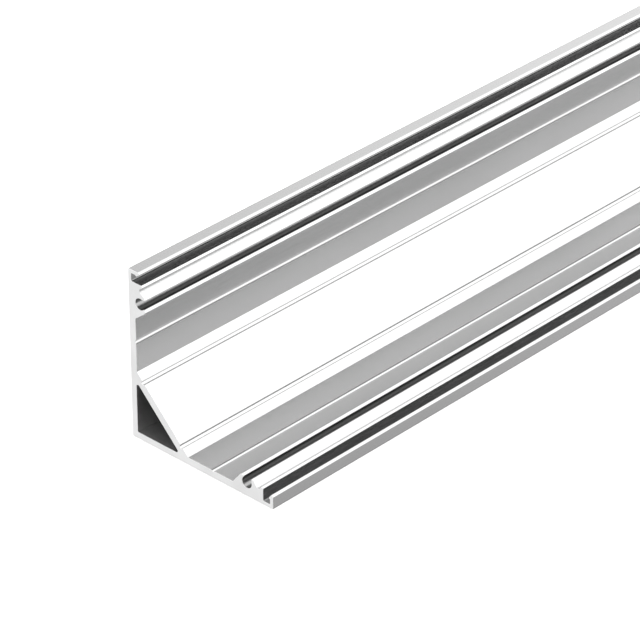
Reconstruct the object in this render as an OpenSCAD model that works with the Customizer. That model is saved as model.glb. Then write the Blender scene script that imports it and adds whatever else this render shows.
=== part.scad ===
// Corner profile for an LED strip: one extruded aluminium bar.
// Two equal legs meet at a right angle, a diagonal web carries the strip at 45 degrees
// over a closed three-sided duct, and each leg ends in a hook, a rib and a lip that hold a cover.
// The bar lies along X on its lower leg, the other leg stands at the +Y side, and the open side
// faces -Y and +Z. All sizes are millimetres.

/* [Bar] */
// Length of the bar
bar_len = 1000; // [100:10:3000]
// Width of each leg, from the outer corner to its tip
leg_w = 30; // [28:0.5:40]
// Thickness of each leg between the strip land and the hook
leg_t = 1.35; // [1.15:0.05:1.6]
// Rounding of the outer corner
corner_r = 0.2; // [0.1:0.05:1]
// Rounding of the small edges along the bar
edge_r = 0.12; // [0.05:0.01:0.16]
// Rounding of the outer edge at each leg's tip
tip_r = 0.2; // [0.05:0.05:0.4]

/* [Strip land] */
// Width of the diagonal face from leg to leg
land_w = 15.1; // [14:0.1:17]
// Thickness of the diagonal web
web_t = 1.35; // [1:0.05:2]
// Clear width between the two guide grooves, where the strip is stuck down
strip_w = 10.6; // [8.2:0.1:11.5]
// Width of each guide groove
guide_w = 0.7; // [0.5:0.05:0.95]
// Depth of each guide groove
guide_depth = 0.4; // [0.2:0.05:0.6]
// Taper of each guide groove's outer side, from the face to its floor
guide_taper = 0.1; // [0.05:0.01:0.22]
// Taper of each guide groove's side at the strip
strip_side_taper = 0.18; // [0.05:0.01:0.25]
// Rounding where the diagonal face meets the legs
land_fillet = 0.5; // [0.1:0.05:0.6]

/* [Duct] */
// Thickness of the outer walls around the duct
duct_wall = 1.15; // [0.9:0.05:1.5]
// Rounding of the two narrow corners of the duct
duct_r = 0.35; // [0.15:0.05:0.6]
// Rounding of the square corner of the duct
duct_corner_r = 0.15; // [0.05:0.05:0.6]

/* [Drill line] */
// Distance from the outer corner to the bottom of the drill line
drill_at = 17.43; // [15:0.01:18]
// Depth of the drill line
drill_depth = 0.21; // [0.15:0.01:0.6]
// Run of the drill line's steep side, towards the outer corner
drill_steep_run = 0.15; // [0.1:0.01:0.6]
// Run of the gentle slope that leads to the steep side
drill_lead_run = 0.3; // [0.1:0.05:0.6]
// Drop of the gentle slope
drill_lead_drop = 0.026; // [0.01:0.002:0.06]
// Run of the drill line's flat side, towards the leg's tip
drill_flat_run = 0.57; // [0.4:0.01:0.9]

/* [Hook] */
// Height of the hook's peak above the leg's outer face
hook_h = 3.52; // [3.1:0.02:4.2]
// Width of the hook's top, from its peak to the snap groove's mouth
hook_top = 0.61; // [0.4:0.01:1.5]
// Fall of the hook's top towards the snap groove's mouth
hook_fall = 0.14; // [0.05:0.01:0.2]
// Run of the sloping back of the hook along the leg
hook_run = 1.7; // [1:0.1:2.2]

/* [Snap groove] */
// Diameter of the round snap groove between hook and rib
snap_d = 1.98; // [1.6:0.02:2.3]
// Depth of the hook's straight edge, from its top to the round part
snap_neck = 0.16; // [0.1:0.02:0.5]
// Reach of the hook over the round part
hook_overhang = 0.35; // [0.1:0.01:0.5]
// Reach of the rib over the round part
rib_overhang = 0.03; // [0.02:0.01:0.3]

/* [Rib] */
// Width of the rib between the snap groove's mouth and the cover slot
rib_w = 2.43; // [2.2:0.01:3.4]
// Height of the rib's inner edge above the leg's outer face
rib_h = 3.47; // [3.1:0.01:4]
// Drop of the rib's shoulder beside the small valley, below its inner edge
shoulder_drop = 0.11; // [0.03:0.01:0.3]
// Drop of the rib's outer crest below its inner edge
crest_drop = 0.5; // [0.4:0.05:0.6]
// Drop of the rib's edge at the cover slot, below its inner edge
slot_edge_drop = 0.62; // [0.55:0.01:0.9]
// Distance from the cover slot to the crest
crest_back = 0.38; // [0.3:0.02:0.6]
// Depth of the small valley below the rib's inner edge
valley_depth = 1.07; // [0.8:0.01:1.3]
// Width of the floor of the small valley
valley_w = 0.42; // [0.2:0.02:0.5]
// Run of the small valley's side towards the crest
valley_outer_run = 0.5; // [0.3:0.02:0.7]
// Run of the small valley's side towards the snap groove
valley_inner_run = 0.68; // [0.4:0.02:0.8]
// Run of the flatter foot of that side
valley_foot_run = 0.3; // [0.1:0.02:0.35]
// Rise of the flatter foot
valley_foot_rise = 0.36; // [0.1:0.02:0.5]

/* [Cover slot] */
// Width of the cover slot between rib and lip
slot_w = 1.4; // [1.1:0.05:1.6]
// Thickness left under the cover slot
slot_floor = 0.68; // [0.6:0.02:1]
// Rounding of the slot's inner bottom corner
slot_fillet = 0.2; // [0.1:0.05:0.5]

/* [Lip] */
// Thickness of the lip at the leg's tip
lip_t = 0.65; // [0.55:0.05:0.9]
// Height of the lip's peak above the leg's outer face
lip_h = 2.55; // [2.3:0.05:3]
// Distance of the lip's peak from the leg's tip
lip_peak = 0.32; // [0.2:0.02:0.5]
// Drop of the lip's outer edge below its peak
lip_edge_drop = 0.34; // [0.15:0.01:0.6]
// Reach of the lip's barb into the cover slot
barb_reach = 0.23; // [0.1:0.01:0.35]
// Drop of the barb's point below the lip's peak
barb_drop = 0.75; // [0.5:0.05:0.9]
// Height of the barb's underside along the lip
barb_under = 0.3; // [0.15:0.05:0.4]

/* [Hidden] */

// Largest turn of one straight piece of a rounded corner, in degrees
arc_step = 16;
// Largest share of a side that the rounding at one of its ends may take
side_share = 0.45;

// Places along a leg, as distances from its tip
slot_start = lip_t;
slot_end = slot_start + slot_w;
crest_place = slot_end + crest_back;
valley_start = crest_place + valley_outer_run;
valley_end = valley_start + valley_w;
shoulder_place = valley_end + valley_inner_run;
rib_end = slot_end + rib_w;
mouth_end = rib_end + snap_d - rib_overhang - hook_overhang;
hook_peak = mouth_end + hook_top;
hook_foot = hook_peak + hook_run;

// Heights above a leg's outer face
hook_edge_h = hook_h - hook_fall;
shoulder_h = rib_h - shoulder_drop;
crest_h = rib_h - crest_drop;
slot_edge_h = rib_h - slot_edge_drop;
valley_h = rib_h - valley_depth;
lip_edge_h = lip_h - lip_edge_drop;
barb_h = lip_h - barb_drop;

// The snap groove's circle, and the angles from straight up to the edges of its mouth
snap_r = snap_d / 2;
snap_place = rib_end - rib_overhang + snap_r;
rib_angle = asin((snap_r - rib_overhang) / snap_r);
hook_angle = asin((snap_r - hook_overhang) / snap_r);
snap_h = hook_edge_h - snap_neck - snap_r * cos(hook_angle);

// Distances of slanted lines from the outer corner, measured along either leg
land_reach = 2 * leg_t + land_w / sqrt(2);
duct_reach = land_reach - web_t * sqrt(2);

// A corner of the outline: distance along the leg from its tip, height, rounding
function from_tip(along, height, r = edge_r) = [leg_w - along, height, r];

// A corner on the diagonal face: distance from its middle towards the lower leg's tip,
// depth below the face, rounding
function on_land(along, depth, r) = [
    land_reach / 2 + (along - depth) / sqrt(2),
    land_reach / 2 - (along + depth) / sqrt(2),
    r
];

// The same corner on the other leg
function other_leg(corner) = [corner[1], corner[0], corner[2]];

function unit(v) = v / norm(v);

function xy(corner) = [corner[0], corner[1]];

// Points of an arc about a centre, from one angle through a turn
function arc(centre, r, start, turn) =
    let (pieces = max(1, ceil(abs(turn) / arc_step)))
    [for (i = [0:pieces]) centre + r * [cos(start + turn * i / pieces), sin(start + turn * i / pieces)]];

// Points that round the corner between its two neighbours
function rounded(before, corner, after) =
    corner[2] == 0 ? [xy(corner)] :
    let (
        to_before = unit(xy(before) - xy(corner)),
        to_after = unit(xy(after) - xy(corner)),
        half_angle = acos(to_before * to_after) / 2,
        room = side_share * min(norm(xy(before) - xy(corner)), norm(xy(after) - xy(corner))),
        reach = min(corner[2] / tan(half_angle), room),
        r = reach * tan(half_angle),
        centre = xy(corner) + unit(to_before + to_after) * reach / cos(half_angle),
        first = xy(corner) + to_before * reach - centre,
        left_turn = cross(to_after, to_before) > 0,
        turn = (left_turn ? 1 : -1) * (180 - 2 * half_angle)
    )
    arc(centre, r, atan2(first[1], first[0]), turn);

// A whole outline with every corner rounded
function rounded_outline(corners) =
    let (count = len(corners))
    [
        for (i = [0:count - 1])
            each rounded(corners[(i + count - 1) % count], corners[i], corners[(i + 1) % count])
    ];

// The lip at the tip of a leg, from the leg's outer face to the floor of the cover slot
function lip_corners() = [
    from_tip(0, 0, tip_r),
    from_tip(0, lip_edge_h),
    from_tip(lip_peak, lip_h),
    from_tip(lip_t + barb_reach, barb_h, edge_r / 2),
    from_tip(lip_t, barb_h - barb_under, edge_r / 2),
    from_tip(slot_start, slot_floor)
];

// The rib between the cover slot and the snap groove, with the small valley in its top
function rib_corners() = [
    from_tip(slot_end, slot_floor, slot_fillet),
    from_tip(slot_end, slot_edge_h, edge_r / 2),
    from_tip(crest_place, crest_h, edge_r / 2),
    from_tip(valley_start, valley_h, edge_r / 2),
    from_tip(valley_end, valley_h, edge_r / 2),
    from_tip(valley_end + valley_foot_run, valley_h + valley_foot_rise, 2 * edge_r),
    from_tip(shoulder_place, shoulder_h, 2 * edge_r),
    from_tip(rib_end, rib_h, edge_r / 2)
];

// The round snap groove, from its mouth on the rib's side to its mouth on the hook's side
function snap_groove_corners() = [
    for (point = arc(
        [leg_w - snap_place, snap_h], snap_r, 90 - rib_angle, rib_angle + hook_angle - 360
    ))
        [point[0], point[1], 0]
];

// The hook, from the mouth of the snap groove to the foot of its sloping back
function hook_corners() = [
    from_tip(mouth_end, hook_edge_h),
    from_tip(hook_peak, hook_h, 2 * edge_r),
    from_tip(hook_foot, leg_t, 2 * edge_r)
];

// The shallow V along the inside of a leg that centres a drill, with a gentle slope before it
function drill_line_corners() = [
    [drill_at + drill_flat_run, leg_t, edge_r],
    [drill_at, leg_t - drill_depth, edge_r / 2],
    [drill_at - drill_steep_run, leg_t - drill_lead_drop, edge_r / 2],
    [drill_at - drill_steep_run - drill_lead_run, leg_t, 0]
];

// Half of the diagonal face, from the leg to its middle, with one guide groove
function land_corners() = [
    on_land(land_w / 2, 0, land_fillet),
    on_land(strip_w / 2 + guide_w, 0, edge_r / 2),
    on_land(strip_w / 2 + guide_w - guide_taper, guide_depth, edge_r / 2),
    on_land(strip_w / 2 + strip_side_taper, guide_depth, edge_r / 2),
    on_land(strip_w / 2, 0, edge_r / 2)
];

function leg_corners() = concat(
    lip_corners(),
    rib_corners(),
    snap_groove_corners(),
    hook_corners(),
    drill_line_corners(),
    land_corners()
);

function outer_corners() =
    let (lower = leg_corners())
    concat(
        [[0, 0, corner_r]],
        lower,
        [for (i = [len(lower) - 1:-1:0]) other_leg(lower[i])]
    );

function duct_corners() = [
    [duct_wall, duct_wall, duct_corner_r],
    [duct_reach - duct_wall, duct_wall, duct_r],
    [duct_wall, duct_reach - duct_wall, duct_r]
];

module section() {
    difference() {
        polygon(rounded_outline(outer_corners()));
        polygon(rounded_outline(duct_corners()));
    }
}

module corner_profile() {
    color("silver")
        translate([0, leg_w / 2, 0])
            rotate([90, 0, -90])
                linear_extrude(height = bar_len, center = true)
                    section();
}

corner_profile();
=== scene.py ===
"""Looks of the corner profile for an LED strip: a satin aluminium extrusion with sawn ends.

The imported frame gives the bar's outline at real size. This script builds a finer bar on that
outline, with eased sawn ends and true normals on its rounds, dresses it, and sets up the studio.
"""

from __future__ import annotations

import logging
import math
from collections.abc import Iterable
from dataclasses import dataclass, field
from enum import Enum

import bpy
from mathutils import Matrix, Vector
from mathutils.geometry import tessellate_polygon


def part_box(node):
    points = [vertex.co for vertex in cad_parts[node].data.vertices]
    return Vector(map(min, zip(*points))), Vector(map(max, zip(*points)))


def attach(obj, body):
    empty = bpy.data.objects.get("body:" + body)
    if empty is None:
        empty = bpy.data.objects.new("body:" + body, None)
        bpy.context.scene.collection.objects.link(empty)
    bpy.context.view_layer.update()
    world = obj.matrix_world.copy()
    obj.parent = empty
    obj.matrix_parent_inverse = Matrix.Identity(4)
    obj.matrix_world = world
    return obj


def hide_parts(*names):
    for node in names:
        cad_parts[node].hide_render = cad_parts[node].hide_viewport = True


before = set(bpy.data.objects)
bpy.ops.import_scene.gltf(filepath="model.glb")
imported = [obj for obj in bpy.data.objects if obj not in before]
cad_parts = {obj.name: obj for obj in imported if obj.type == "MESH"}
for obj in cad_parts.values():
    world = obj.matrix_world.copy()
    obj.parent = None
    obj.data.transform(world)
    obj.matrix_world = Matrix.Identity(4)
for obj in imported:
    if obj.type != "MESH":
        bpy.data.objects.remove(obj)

LOG = logging.getLogger("corner_profile")

MM = 0.001
MICRON = 0.000001
NODE = "corner_profile"
PIECE = "profile_bar"
BODY = "root"

# Blender's noise seldom leaves this range.
NOISE_LOW = 0.3
NOISE_HIGH = 0.7

WHITE = (1.0, 1.0, 1.0, 1.0)

Triple = tuple[float, float, float]


def grey(level: float) -> Triple:
    """Neutral linear colour of one level."""
    return (level, level, level)


def lift(flat: Vector, x: float = 0.0) -> Vector:
    """Brings a point or a direction of the section's plane into the bar's space."""
    return Vector((x, flat.x, flat.y))


class Role(Enum):
    """Material slots of the bar's mesh."""

    BRUSHED = 0
    SAWN = 1
    # Darker, slightly rougher aluminium painted into hollow rounds, slot floors and beside drill lines:
    # painted shade.
    PAINTED_SHADE = 2
    DUCT = 3


@dataclass(frozen=True)
class Edge:
    """One straight piece of a rim, in the section's plane.

    Args:
        along: Unit direction from its first point to its second.
        outward: Unit normal that points out of the metal.
        length: Length in metres.
    """

    along: Vector
    outward: Vector
    length: float


@dataclass(frozen=True)
class RimRules:
    """How rounds, flats and the places that get painted shade are told apart on a rim.

    Args:
        largest_turn: Largest turn at one corner of a round, in radians.
        painted_shade_turn: Whole turn from which a hollow round gets painted shade, in radians.
        undercut_turn: Whole turn from which a round groove is narrower at its mouth than inside.
        floor_length: Length in metres up to which a flat between two such rounds gets the painted shade
            too.
        face_length: Length in metres from which a flat is a leg's face.
        lead_turn: Largest turn from such a face into the gentle slope before its drill line.
        lead_length: Least length in metres of that slope.
        line_width: Width in metres of the line of painted shade at the slope's lower end.
        flat_ratio: Length ratio from which the longer of two edges is a flat beside a round.
        flat_length: Length in metres from which both edges at a corner are flats.
    """

    largest_turn: float = math.radians(20.0)
    painted_shade_turn: float = math.radians(80.0)
    undercut_turn: float = math.pi
    floor_length: float = 1.5 * MM
    face_length: float = 3.0 * MM
    lead_turn: float = math.radians(10.0)
    lead_length: float = 0.25 * MM
    line_width: float = 0.24 * MM
    flat_ratio: float = 1.6
    flat_length: float = 0.28 * MM


class Rim:
    """A closed outline of the section, with the metal to the left of the way round."""

    def __init__(self, points: list[Vector], painted_shade_lines: frozenset[int] = frozenset()) -> None:
        """Keeps the points and works out the edges between them.

        Args:
            points: Corners in the section's plane, as (Y, Z) in metres.
            painted_shade_lines: Places of the edges that are a line of painted shade beside a drill line.
        """
        self.points = points
        self.painted_shade_lines = painted_shade_lines
        self.edges: list[Edge] = []
        for i, point in enumerate(points):
            step = points[(i + 1) % len(points)] - point
            along = step.normalized()
            self.edges.append(Edge(along, Vector((along.y, -along.x)), step.length))

    def area(self) -> float:
        """Signed area inside the outline, positive where it runs anticlockwise."""
        following = self.points[1:] + self.points[:1]
        return 0.5 * sum(a.x * b.y - b.x * a.y for a, b in zip(self.points, following))

    def inset(self, depth: float) -> list[Vector]:
        """Moves every corner into the metal, square to both of its edges.

        Args:
            depth: Distance of the moved edges from the first ones.

        Returns:
            The moved corners.
        """
        moved = []
        for i, point in enumerate(self.points):
            before = self.edges[i - 1].outward
            after = self.edges[i].outward
            moved.append(point - depth * (before + after) / (1.0 + before.dot(after)))
        return moved

    def turn(self, i: int) -> float:
        """Measures the turn from edge to edge at a corner.

        Args:
            i: Place of the corner.

        Returns:
            The turn in radians, negative where the metal is hollow.
        """
        before = self.edges[i - 1].along
        after = self.edges[i].along
        return math.atan2(before.x * after.y - before.y * after.x, before.dot(after))

    def is_flat(self, i: int, flat_ratio: float) -> bool:
        """Tells whether an edge is too long beside its neighbours to be part of a round.

        Args:
            i: Place of the edge.
            flat_ratio: Length ratio from which it is.

        Returns:
            True where it is a flat.
        """
        count = len(self.edges)
        longest = max(self.edges[(i - 1) % count].length, self.edges[(i + 1) % count].length)
        return self.edges[i % count].length > flat_ratio * longest

    def with_painted_shade_lines(self, rules: RimRules) -> Rim:
        """Parts off the narrow line of painted shade at the lower end of the slope before each drill line.

        Args:
            rules: How the slopes are found.

        Returns:
            The same outline with a further point on each slope.
        """
        count = len(self.points)
        points: list[Vector] = []
        lines = set()
        for i, edge in enumerate(self.edges):
            j = (i + 1) % count
            points.append(self.points[i])
            if edge.length < rules.lead_length:
                continue
            # The slope's lower end gets a narrow strip of painted shade.
            if 0.0 < self.turn(j) < rules.lead_turn and self.edges[j].length > rules.face_length:
                lines.add(len(points) - 1)
                points.append(self.points[i] + rules.line_width * edge.along)
            elif 0.0 < self.turn(i) < rules.lead_turn and self.edges[i - 1].length > rules.face_length:
                lines.add(len(points))
                points.append(self.points[j] - rules.line_width * edge.along)
        return Rim(points, frozenset(lines))

    def painted_shade_edges(self, rules: RimRules) -> set[int]:
        """Finds the hollow rounds that get painted shade, and adds the lines of painted shade beside the
        drill lines.

        Args:
            rules: How rounds are told from flats.

        Returns:
            Places of their edges. A groove that is narrower at its mouth than inside brings the
            straight side at either end of its round, and a slot the floor between its two rounds.
        """
        count = len(self.edges)
        found = set(self.painted_shade_lines)
        first = next((i for i in range(count) if self.turn(i) > 0.0), None)
        if first is None:
            return found
        last_end = None
        start = first
        while start < first + count:
            end = start
            total = 0.0
            while -rules.largest_turn <= self.turn(end % count) < 0.0:
                if end > start and self.is_flat(end - 1, rules.flat_ratio):
                    break
                total -= self.turn(end % count)
                end += 1
            if total > rules.undercut_turn:
                found.update(i % count for i in range(start - 1, end))
            elif total > rules.painted_shade_turn:
                found.update(i % count for i in range(start, end - 1))
                if last_end == start - 1 and self.edges[last_end % count].length < rules.floor_length:
                    found.add(last_end % count)
                last_end = end - 1
            start = max(end, start + 1)
        return found

    def corner_normals(self, rules: RimRules) -> list[tuple[Vector, Vector]]:
        """Finds the normal at each corner, for the edge before it and the edge after it.

        Args:
            rules: How rounds are told from flats.

        Returns:
            Two normals for each corner. They differ only where the corner is sharp.
        """
        normals = []
        for i in range(len(self.points)):
            before = self.edges[i - 1]
            after = self.edges[i]
            both_flat = min(before.length, after.length) > rules.flat_length
            if both_flat or abs(self.turn(i)) > rules.largest_turn:
                normals.append((before.outward, after.outward))
                continue
            if before.length > rules.flat_ratio * after.length:
                shared = before.outward
            elif after.length > rules.flat_ratio * before.length:
                shared = after.outward
            else:
                shared = (before.outward + after.outward).normalized()
            normals.append((shared, shared))
        return normals


def read_rims(node: bpy.types.Object) -> list[Rim]:
    """Reads the section's outlines from the low end of the CAD bar.

    The faces of the end give their sides once each way where they meet, and one way only on a
    rim, so the sides that have no partner are the rims.

    Args:
        node: The bar's CAD node.

    Returns:
        The outer outline first, then the duct's.
    """
    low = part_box(node.name)[0].x
    mesh = node.data
    sides: list[tuple] = []
    place_of: dict[tuple, Vector] = {}
    for face in mesh.polygons:
        corners = [mesh.vertices[i].co for i in face.vertices]
        if any(abs(corner.x - low) > MICRON for corner in corners):
            continue
        keys = [(round(corner.y / MICRON), round(corner.z / MICRON)) for corner in corners]
        for key, corner in zip(keys, corners):
            place_of[key] = Vector((corner.y, corner.z))
        sides.extend(zip(keys, keys[1:] + keys[:1]))
    known = set(sides)
    following = {start: end for start, end in sides if (end, start) not in known}
    rims = []
    while following:
        start, here = following.popitem()
        loop = [start]
        while here != start:
            loop.append(here)
            here = following.pop(here)
        rims.append(Rim([place_of[key] for key in reversed(loop)]))
    rims.sort(key=lambda rim: -abs(rim.area()))
    return rims


@dataclass(frozen=True)
class Socket:
    """A named input or output of a shader node group.

    Args:
        name: Name on the group.
        kind: Blender's socket type.
        value: Default of an input.
    """

    name: str
    kind: str = "NodeSocketFloat"
    value: float | None = None


class NodeTree:
    """Short calls that add nodes to a tree and join them."""

    def __init__(self, tree: bpy.types.NodeTree) -> None:
        """Works on a tree that exists.

        Args:
            tree: Tree of a material, a world or a group.
        """
        self.tree = tree

    def add(self, kind: str, label: str = "", **settings: object) -> bpy.types.Node:
        """Adds a node.

        Args:
            kind: Blender's node type.
            label: Label on the node.
            settings: Attributes to set on it.

        Returns:
            The new node.
        """
        node = self.tree.nodes.new(kind)
        node.label = label
        for name, value in settings.items():
            setattr(node, name, value)
        return node

    def feed(self, socket: bpy.types.NodeSocket, source: object) -> None:
        """Gives an input its source.

        Args:
            socket: The input.
            source: Another node's output, or a plain value.
        """
        if isinstance(source, bpy.types.NodeSocket):
            self.tree.links.new(source, socket)
        else:
            socket.default_value = source

    def math(self, operation: str, *sources: object) -> bpy.types.NodeSocket:
        """Adds a Math node.

        Args:
            operation: Blender's name of the operation.
            sources: Outputs or numbers, in the order of its inputs.

        Returns:
            The result's socket.
        """
        node = self.add("ShaderNodeMath", operation=operation)
        for socket, source in zip(node.inputs, sources):
            self.feed(socket, source)
        return node.outputs[0]

    def vector_math(self, operation: str, *sources: object, label: str = "") -> bpy.types.Node:
        """Adds a Vector Math node.

        Args:
            operation: Blender's name of the operation.
            sources: Outputs or vectors, in the order of its inputs.
            label: Label on the node.

        Returns:
            The node, because its operations put out either a vector or a value.
        """
        node = self.add("ShaderNodeVectorMath", label, operation=operation)
        for socket, source in zip(node.inputs, sources):
            self.feed(socket, source)
        return node

    def split(self, vector: bpy.types.NodeSocket) -> bpy.types.Node:
        """Adds a node that puts out a vector's X, Y and Z.

        Args:
            vector: The vector's socket.

        Returns:
            The node.
        """
        node = self.add("ShaderNodeSeparateXYZ")
        self.feed(node.inputs[0], vector)
        return node

    def noise(
        self, label: str, vector: bpy.types.NodeSocket, scale: object, **settings: float
    ) -> bpy.types.NodeSocket:
        """Adds a Noise Texture node.

        Args:
            label: Label on the node.
            vector: Place at which the noise is read.
            scale: Features over a metre.
            settings: Values of its other inputs, by their names.

        Returns:
            The noise's socket.
        """
        node = self.add("ShaderNodeTexNoise", label)
        for name, source in {"Vector": vector, "Scale": scale, **settings}.items():
            self.feed(node.inputs[name], source)
        return node.outputs["Fac"]

    def map_range(
        self, value: bpy.types.NodeSocket, low: float, high: float, to_low: float, to_high: float
    ) -> bpy.types.NodeSocket:
        """Maps a value smoothly from one range to another.

        Args:
            value: The value's socket.
            low: Value that becomes to_low.
            high: Value that becomes to_high.
            to_low: Result at and before low.
            to_high: Result at and after high.

        Returns:
            The result's socket.
        """
        node = self.add("ShaderNodeMapRange", interpolation_type="SMOOTHSTEP")
        for name, source in (
            ("Value", value),
            ("From Min", low),
            ("From Max", high),
            ("To Min", to_low),
            ("To Max", to_high),
        ):
            self.feed(node.inputs[name], source)
        return node.outputs["Result"]


def new_group(name: str, inputs: list[Socket], outputs: list[Socket]) -> tuple[NodeTree, dict, dict]:
    """Makes an empty shader node group with named sockets.

    Args:
        name: Name of the group.
        inputs: Its inputs.
        outputs: Its outputs.

    Returns:
        Its tree, the sockets that its inputs bring in, and the sockets that take its results.
    """
    tree = bpy.data.node_groups.new(name, "ShaderNodeTree")
    for socket in inputs:
        made = tree.interface.new_socket(name=socket.name, in_out="INPUT", socket_type=socket.kind)
        if socket.value is not None:
            made.default_value = socket.value
    for socket in outputs:
        tree.interface.new_socket(name=socket.name, in_out="OUTPUT", socket_type=socket.kind)
    nodes = NodeTree(tree)
    entry = nodes.add("NodeGroupInput")
    leave = nodes.add("NodeGroupOutput")
    return (
        nodes,
        {socket.name: entry.outputs[socket.name] for socket in inputs},
        {socket.name: leave.inputs[socket.name] for socket in outputs},
    )


@dataclass(frozen=True)
class GrainScale:
    """How fine the stretched grain is.

    Args:
        streaks_per_metre: Features of the streaks over a metre, square to the bar.
        stretch: Their number along the bar, as a share of the number square to it.
        cloud_per_metre: Features of the slow tone variation over a metre.
    """

    streaks_per_metre: float = 2500.0
    stretch: float = 0.004
    cloud_per_metre: float = 30.0

    def inputs(self) -> dict[str, float]:
        """Values of the node group's inputs, by their names."""
        return {
            "Streaks per Metre": self.streaks_per_metre,
            "Stretch": self.stretch,
            "Cloud per Metre": self.cloud_per_metre,
        }


@dataclass(frozen=True)
class StretchedGrain:
    """Shared effect: noise drawn out along the bar, as a die leaves it, and a slow cloud.

    Args:
        name: Name of the node group.
        scale: Defaults of its inputs.
        streak_detail: Octaves of the streaks.
        streak_roughness: Strength of each octave of the streaks beside the one before.
        cloud_detail: Octaves of the cloud.
    """

    name: str = "stretched_grain"
    scale: GrainScale = GrainScale()
    streak_detail: float = 3.0
    streak_roughness: float = 0.6
    cloud_detail: float = 2.0

    def build(self) -> bpy.types.NodeTree:
        """Makes the node group.

        Returns:
            The group, with a streak height and a slow tone variation as outputs.
        """
        nodes, given, result = new_group(
            self.name,
            [Socket(name, value=value) for name, value in self.scale.inputs().items()],
            [Socket("Height"), Socket("Cloud")],
        )
        place = nodes.add("ShaderNodeTexCoord").outputs["Object"]
        apart = nodes.split(place)
        drawn_out = nodes.add("ShaderNodeCombineXYZ")
        nodes.feed(drawn_out.inputs["X"], nodes.math("MULTIPLY", apart.outputs["X"], given["Stretch"]))
        nodes.feed(drawn_out.inputs["Y"], apart.outputs["Y"])
        nodes.feed(drawn_out.inputs["Z"], apart.outputs["Z"])
        streaks = nodes.noise(
            "streaks",
            drawn_out.outputs[0],
            given["Streaks per Metre"],
            Detail=self.streak_detail,
            Roughness=self.streak_roughness,
        )
        cloud = nodes.noise("cloud", place, given["Cloud per Metre"], Detail=self.cloud_detail)
        nodes.feed(result["Height"], streaks)
        nodes.feed(result["Cloud"], cloud)
        return nodes.tree


@dataclass(frozen=True)
class Aluminium:
    """What the finishes have in common: metal of a slowly varying tone, with a fine relief.

    Args:
        name: Name of the material.
        colour: Linear base colour.
        colour_spread: Share by which the tone varies.
        roughness: Middle roughness.
        relief_depth: Height of the relief in metres.
        grain_scale: How fine the grain is.
    """

    name: str
    colour: Triple
    colour_spread: float
    roughness: float
    relief_depth: float
    grain_scale: GrainScale

    def build(self, grain: bpy.types.NodeTree) -> bpy.types.Material:
        """Makes the material.

        Args:
            grain: The shared node group of stretched grain.

        Returns:
            The material.
        """
        material = bpy.data.materials.new(self.name)
        material.use_nodes = True
        nodes = NodeTree(material.node_tree)
        shader = material.node_tree.nodes["Principled BSDF"]
        nodes.feed(shader.inputs["Metallic"], 1.0)
        effect = nodes.add("ShaderNodeGroup", node_tree=grain)
        for name, value in self.grain_scale.inputs().items():
            nodes.feed(effect.inputs[name], value)
        low_tone = 1.0 - self.colour_spread
        high_tone = 1.0 + self.colour_spread
        tone = nodes.map_range(effect.outputs["Cloud"], NOISE_LOW, NOISE_HIGH, low_tone, high_tone)
        colour = nodes.vector_math("SCALE", self.colour)
        nodes.feed(colour.inputs["Scale"], tone)
        nodes.feed(shader.inputs["Base Color"], colour.outputs[0])
        nodes.feed(shader.inputs["Roughness"], self.roughness_over(nodes, effect.outputs["Height"]))
        bump = nodes.add("ShaderNodeBump")
        nodes.feed(bump.inputs["Distance"], self.relief_depth)
        nodes.feed(bump.inputs["Height"], self.relief_over(nodes, effect.outputs["Height"]))
        nodes.feed(shader.inputs["Normal"], bump.outputs["Normal"])
        return material

    def roughness_over(self, nodes: NodeTree, streaks: bpy.types.NodeSocket) -> object:
        """Gives the roughness, here the same all over.

        Args:
            nodes: The material's nodes.
            streaks: Height of the grain's streaks.

        Returns:
            A number, or the socket of a value that changes over the surface.
        """
        return self.roughness

    def relief_over(self, nodes: NodeTree, streaks: bpy.types.NodeSocket) -> bpy.types.NodeSocket:
        """Gives the height of the relief, here the grain's streaks.

        Args:
            nodes: The material's nodes.
            streaks: Height of the grain's streaks.

        Returns:
            The height's socket.
        """
        return streaks


@dataclass(frozen=True)
class SatinAluminium(Aluminium):
    """Drawn, anodised surface along the bar, with fine die lines.

    Args:
        roughness_spread: Range of the roughness, on either side of the middle.
    """

    name: str = "satin_aluminium"
    colour: Triple = grey(0.43)
    colour_spread: float = 0.015
    roughness: float = 0.23
    relief_depth: float = 0.12 * MICRON
    grain_scale: GrainScale = GrainScale()
    roughness_spread: float = 0.012

    def roughness_over(self, nodes: NodeTree, streaks: bpy.types.NodeSocket) -> bpy.types.NodeSocket:
        """Lets the roughness follow the streaks.

        Args:
            nodes: The material's nodes.
            streaks: Height of the grain's streaks.

        Returns:
            The socket of the roughness.
        """
        low = self.roughness - self.roughness_spread
        high = self.roughness + self.roughness_spread
        return nodes.map_range(streaks, NOISE_LOW, NOISE_HIGH, low, high)


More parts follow.
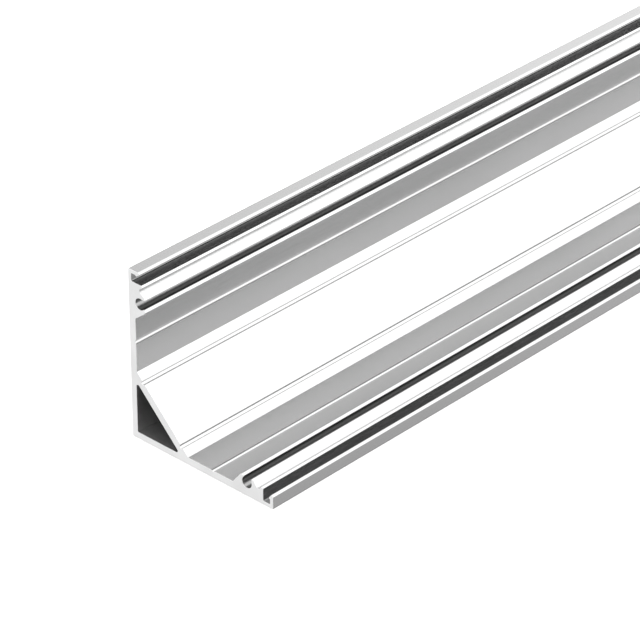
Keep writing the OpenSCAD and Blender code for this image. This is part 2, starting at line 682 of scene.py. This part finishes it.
@dataclass(frozen=True)
class SawnAluminium(Aluminium):
    """Bare metal of a sawn end, brighter and duller than the anodised faces.

    Args:
        marks_per_metre: Number of saw marks over a metre.
        mark_wobble: Radians of a mark's wave by which the grain's streaks shift it.
        blade_hub: Place of the blade's hub in the section's plane, as (Y, Z) in metres.
    """

    name: str = "sawn_aluminium"
    colour: Triple = grey(0.9)
    colour_spread: float = 0.03
    roughness: float = 0.62
    relief_depth: float = 1.5 * MICRON
    grain_scale: GrainScale = GrainScale(streaks_per_metre=900.0, stretch=1.0, cloud_per_metre=180.0)
    marks_per_metre: float = 2400.0
    mark_wobble: float = 2.5
    blade_hub: tuple[float, float] = (-0.15, -0.03)

    def relief_over(self, nodes: NodeTree, streaks: bpy.types.NodeSocket) -> bpy.types.NodeSocket:
        """Draws the saw marks, as waves round the blade's hub.

        Args:
            nodes: The material's nodes.
            streaks: Height of the grain's streaks.

        Returns:
            The height's socket.
        """
        place = nodes.add("ShaderNodeTexCoord").outputs["Object"]
        from_hub = nodes.vector_math("SUBTRACT", place, (0.0, *self.blade_hub), label="from the hub")
        flattened = nodes.vector_math("MULTIPLY", from_hub.outputs[0], (0.0, 1.0, 1.0))
        distance = nodes.vector_math("LENGTH", flattened.outputs[0]).outputs["Value"]
        wobble = nodes.math("MULTIPLY", streaks, self.mark_wobble)
        turns = nodes.math("MULTIPLY", distance, self.marks_per_metre * math.tau)
        return nodes.math("SINE", nodes.math("ADD", turns, wobble))


@dataclass
class MeshParts:
    """What a mesh is made of, while it grows.

    Args:
        vertices: Corners in metres.
        faces: Places of each face's corners.
        roles: Finish of each face.
        normals: Normal at each corner of each face, face by face.
    """

    vertices: list[Vector] = field(default_factory=list)
    faces: list[tuple[int, ...]] = field(default_factory=list)
    roles: list[Role] = field(default_factory=list)
    normals: list[Vector] = field(default_factory=list)

    def add_loop(self, x: float, points: list[Vector]) -> int:
        """Adds the corners of an outline at one place along the bar.

        Args:
            x: The place along the bar.
            points: The outline's corners in the section's plane.

        Returns:
            Place of the first of them.
        """
        first = len(self.vertices)
        self.vertices.extend(lift(point, x) for point in points)
        return first

    def add_face(self, corners: Iterable[int], role: Role, normals: Iterable[Vector]) -> None:
        """Adds a face.

        Args:
            corners: Places of its corners.
            role: Its finish.
            normals: Normal at each of its corners.
        """
        self.faces.append(tuple(corners))
        self.roles.append(role)
        self.normals.extend(normals)

    def build(self, name: str, materials: dict[Role, bpy.types.Material]) -> bpy.types.Object:
        """Makes the mesh and its object.

        Args:
            name: Name of both.
            materials: One material for each slot.

        Returns:
            The object.
        """
        mesh = bpy.data.meshes.new(name)
        mesh.from_pydata(self.vertices, [], self.faces)
        for role in Role:
            mesh.materials.append(materials[role])
        mesh.polygons.foreach_set("material_index", [role.value for role in self.roles])
        mesh.polygons.foreach_set("use_smooth", [True] * len(self.faces))
        mesh.normals_split_custom_set([tuple(normal) for normal in self.normals])
        made = bpy.data.objects.new(name, mesh)
        bpy.context.scene.collection.objects.link(made)
        return made


@dataclass
class ProfileBar:
    """The extruded bar, built on the frame's outline.

    Args:
        edge_break: Width of the eased edge round each sawn end, in metres.
        rules: How the section's rounds are told from its flats.
    """

    edge_break: float = 0.03 * MM
    rules: RimRules = RimRules()

    def build(self, node: bpy.types.Object, materials: dict[Role, bpy.types.Material]) -> bpy.types.Object:
        """Builds the bar and puts it in the CAD node's place.

        Args:
            node: The bar's CAD node.
            materials: One material for each slot.

        Returns:
            The bar's object.
        """
        low, high = (corner.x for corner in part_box(node.name))
        rims = [rim.with_painted_shade_lines(self.rules) for rim in read_rims(node)]
        parts = MeshParts()
        loops = [
            self._add_walls(parts, rim, role, low, high)
            for rim, role in zip(rims, (Role.BRUSHED, Role.DUCT))
        ]
        for x, facing, end_loops in zip((low, high), (-1.0, 1.0), zip(*loops)):
            self._add_end(parts, rims, end_loops, x, facing)
        bar = parts.build(PIECE, materials)
        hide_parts(node.name)
        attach(bar, BODY)
        return bar

    def _add_walls(
        self, parts: MeshParts, rim: Rim, role: Role, low: float, high: float
    ) -> tuple[int, int]:
        """Adds the long faces of one rim, between the eased edges of the two ends.

        Args:
            parts: The mesh that grows.
            rim: The outline.
            role: Finish of its faces that don't get the painted shade.
            low: Place of the low end along the bar.
            high: Place of the high end.

        Returns:
            Places of the first corner near the low end and near the high end.
        """
        near_low = parts.add_loop(low + self.edge_break, rim.points)
        near_high = parts.add_loop(high - self.edge_break, rim.points)
        corner_normals = rim.corner_normals(self.rules)
        # Hollow rounds, slot floors and drill-line strips get the darker colour of painted shade.
        painted_shade_places = rim.painted_shade_edges(self.rules)
        count = len(rim.points)
        for i in range(count):
            j = (i + 1) % count
            here = lift(corner_normals[i][1])
            there = lift(corner_normals[j][0])
            parts.add_face(
                (near_low + i, near_low + j, near_high + j, near_high + i),
                Role.PAINTED_SHADE if i in painted_shade_places else role,
                (here, there, there, here),
            )
        return near_low, near_high

    def _add_end(
        self, parts: MeshParts, rims: list[Rim], loops: tuple[int, ...], x: float, facing: float
    ) -> None:
        """Adds one sawn end: its eased edges and its flat face with the duct's mouth.

        Args:
            parts: The mesh that grows.
            rims: The outlines, the outer one first.
            loops: Place of the first corner of each outline's walls near this end.
            x: Place of the end along the bar.
            facing: -1 at the low end and 1 at the high end.
        """
        square = Vector((facing, 0.0, 0.0))
        flat = []
        index_of: list[int] = []
        for rim, outer in zip(rims, loops):
            points = rim.inset(self.edge_break)
            inner = parts.add_loop(x, points)
            count = len(points)
            for i, edge in enumerate(rim.edges):
                j = (i + 1) % count
                ring = (outer + j, outer + i, inner + i, inner + j)
                eased = (square + lift(edge.outward)).normalized()
                parts.add_face(ring if facing < 0.0 else ring[::-1], Role.SAWN, [eased] * len(ring))
            flat.append([Vector((point.x, point.y, 0.0)) for point in points])
            index_of.extend(range(inner, inner + count))
        for triangle in tessellate_polygon(flat):
            corners = [index_of[i] for i in triangle]
            a, b, c = (parts.vertices[i] for i in corners)
            if (b - a).cross(c - a).x * facing < 0.0:
                corners.reverse()
            parts.add_face(corners, Role.SAWN, [square] * len(corners))


@dataclass(frozen=True)
class Camera:
    """The photograph's viewpoint.

    Args:
        place: Position in metres.
        direction: Where it looks.
        lens: Focal length in millimetres, for a sensor 36 mm wide.
        clip_start: Distance in metres from which it sees.
        clip_end: Distance in metres up to which it sees.
    """

    place: Triple = (-0.826713, -0.330849, 0.306940)
    direction: Triple = (0.6250, 0.5858, -0.5161)
    lens: float = 205.73
    clip_start: float = 0.01
    clip_end: float = 200.0

    def build(self) -> bpy.types.Object:
        """Makes the camera and the scene's view.

        Returns:
            The camera's object.
        """
        data = bpy.data.cameras.new("camera")
        data.lens = self.lens
        data.clip_start = self.clip_start
        data.clip_end = self.clip_end
        camera = bpy.data.objects.new("camera", data)
        camera.location = self.place
        camera.rotation_mode = "QUATERNION"
        camera.rotation_quaternion = Vector(self.direction).to_track_quat("-Z", "Y")
        bpy.context.scene.collection.objects.link(camera)
        bpy.context.scene.camera = camera
        return camera


@dataclass(frozen=True)
class SoftLight:
    """A wide light with a soft edge, far from the bar.

    Args:
        direction: Its middle, as a direction from the bar.
        gain: Radiance that it adds in its middle.
        edge_start: Cosine from its middle at which it begins.
        edge_end: Cosine from its middle at which it is full.
    """

    direction: Triple
    gain: float
    edge_start: float
    edge_end: float

    def build(self, nodes: NodeTree, towards: bpy.types.NodeSocket) -> bpy.types.NodeSocket:
        """Adds the light to a world's nodes.

        Args:
            nodes: The world's nodes.
            towards: Direction in which the world is seen.

        Returns:
            The radiance that it adds in that direction.
        """
        middle = Vector(self.direction).normalized()
        cosine = nodes.vector_math("DOT_PRODUCT", towards, middle).outputs["Value"]
        return nodes.map_range(cosine, self.edge_start, self.edge_end, 0.0, self.gain)


@dataclass(frozen=True)
class BandLight(SoftLight):
    """A soft light that is only a band across the bar.

    Args:
        lean: Middle of the band, as its direction's share along the bar.
        half_width: Distance from the middle at which the band begins to fade.
        fade: Further distance at which it is dark.
    """

    lean: float
    half_width: float
    fade: float

    def build(self, nodes: NodeTree, towards: bpy.types.NodeSocket) -> bpy.types.NodeSocket:
        """Adds the light to a world's nodes, as a soft light cut to its band.

        Args:
            nodes: The world's nodes.
            towards: Direction in which the world is seen.

        Returns:
            The radiance that it adds in that direction.
        """
        whole = super().build(nodes, towards)
        along_bar = nodes.split(towards).outputs["X"]
        offset = nodes.math("ABSOLUTE", nodes.math("SUBTRACT", along_bar, self.lean))
        cut = nodes.map_range(offset, self.half_width, self.half_width + self.fade, 1.0, 0.0)
        return nodes.math("MULTIPLY", whole, cut)


@dataclass(frozen=True)
class Studio:
    """A pale glowing floor in soft light, with a key over the bar's open side.

    Args:
        floor_size: Side of the floor in metres.
        floor_gap: Distance of the floor below the bar, which keeps the two faces apart.
        floor_colour: Linear colour of the floor.
        floor_glow: Radiance of the floor itself.
        dim: Radiance far from every light.
        key: Light over the bar's open side.
        low: Light that comes back from below, on the bar's open side.
        sky: Wide light from above.
        back: Light behind the bar.
        front: Light in front of the bar's low end.
        backdrop: Radiance that the camera sees behind the floor.
    """

    floor_size: float = 60.0
    floor_gap: float = 0.05 * MM
    floor_colour: Triple = grey(0.8)
    floor_glow: float = 0.5
    dim: float = 0.25
    key: SoftLight = BandLight(
        direction=(0.55, -0.48, 0.68),
        gain=1.95,
        edge_start=0.25,
        edge_end=0.53,
        lean=0.62,
        half_width=0.2,
        fade=0.2,
    )
    low: SoftLight = SoftLight(direction=(0.5, -0.8, -0.3), gain=0.52, edge_start=0.8, edge_end=0.93)
    sky: SoftLight = SoftLight(direction=(0.0, -0.5, 0.86), gain=0.45, edge_start=0.0, edge_end=0.5)
    back: SoftLight = SoftLight(direction=(0.0, 1.0, -0.2), gain=0.9, edge_start=0.45, edge_end=0.9)
    front: SoftLight = SoftLight(direction=(-0.85, 0.15, 0.5), gain=0.59, edge_start=0.0, edge_end=0.6)
    backdrop: float = 1.0

    def build(self) -> bpy.types.Object:
        """Makes the floor and the light.

        Returns:
            The floor's object.
        """
        self._light()
        scene = bpy.context.scene
        scene.view_settings.view_transform = "Standard"
        scene.view_settings.look = "None"
        half = self.floor_size / 2.0
        mesh = bpy.data.meshes.new("floor")
        corners = [(-half, -half), (half, -half), (half, half), (-half, half)]
        mesh.from_pydata([(x, y, -self.floor_gap) for x, y in corners], [], [(0, 1, 2, 3)])
        mesh.materials.append(self._floor_material())
        floor = bpy.data.objects.new("floor", mesh)
        scene.collection.objects.link(floor)
        floor.visible_glossy = False
        return floor

    def _floor_material(self) -> bpy.types.Material:
        """Makes the matt pale material of the floor.

        Returns:
            The material.
        """
        material = bpy.data.materials.new("pale_floor")
        material.use_nodes = True
        shader = material.node_tree.nodes["Principled BSDF"]
        shader.inputs["Base Color"].default_value = (*self.floor_colour, 1.0)
        shader.inputs["Roughness"].default_value = 1.0
        shader.inputs["Specular IOR Level"].default_value = 0.0
        shader.inputs["Emission Color"].default_value = WHITE
        shader.inputs["Emission Strength"].default_value = self.floor_glow
        return material

    def _light(self) -> None:
        """Sets the world: its soft lights by direction, and a plain backdrop for the camera."""
        world = bpy.data.worlds.new("studio")
        bpy.context.scene.world = world
        world.use_nodes = True
        nodes = NodeTree(world.node_tree)
        background = world.node_tree.nodes["Background"]
        towards = nodes.add("ShaderNodeTexCoord").outputs["Generated"]
        radiance = self.dim
        for light in (self.key, self.low, self.sky, self.back, self.front):
            radiance = nodes.math("ADD", light.build(nodes, towards), radiance)
        seen = nodes.add("ShaderNodeLightPath").outputs["Is Camera Ray"]
        mixed = nodes.add("ShaderNodeMix", data_type="FLOAT")
        nodes.feed(mixed.inputs["Factor"], seen)
        nodes.feed(mixed.inputs["A"], radiance)
        nodes.feed(mixed.inputs["B"], self.backdrop)
        nodes.feed(background.inputs["Strength"], mixed.outputs["Result"])
        nodes.feed(background.inputs["Color"], WHITE)


def report(piece: bpy.types.Object) -> None:
    """Logs a piece's name and its number of faces."""
    LOG.info("%s: %d faces", piece.name, len(piece.data.polygons))


def main() -> None:
    logging.basicConfig(level=logging.INFO, format="%(message)s")
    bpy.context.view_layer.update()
    Camera().build()
    finishes = {
        Role.BRUSHED: SatinAluminium(),
        Role.SAWN: SawnAluminium(),
        # Darker grey painted as shade into hollows and beside drill lines; a little rougher too.
        Role.PAINTED_SHADE: SatinAluminium(
            name="painted_shade_aluminium",
            colour=grey(0.23),
            colour_spread=0.03,
            roughness=0.3,
            roughness_spread=0.02,
        ),
        Role.DUCT: SatinAluminium(
            name="mill_aluminium",
            colour=grey(0.55),
            colour_spread=0.04,
            roughness=0.48,
            roughness_spread=0.05,
        ),
    }
    grain = StretchedGrain().build()
    materials = {role: finish.build(grain) for role, finish in finishes.items()}
    report(ProfileBar().build(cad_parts[NODE], materials))
    report(Studio().build())


if __name__ == "__main__":
    main()
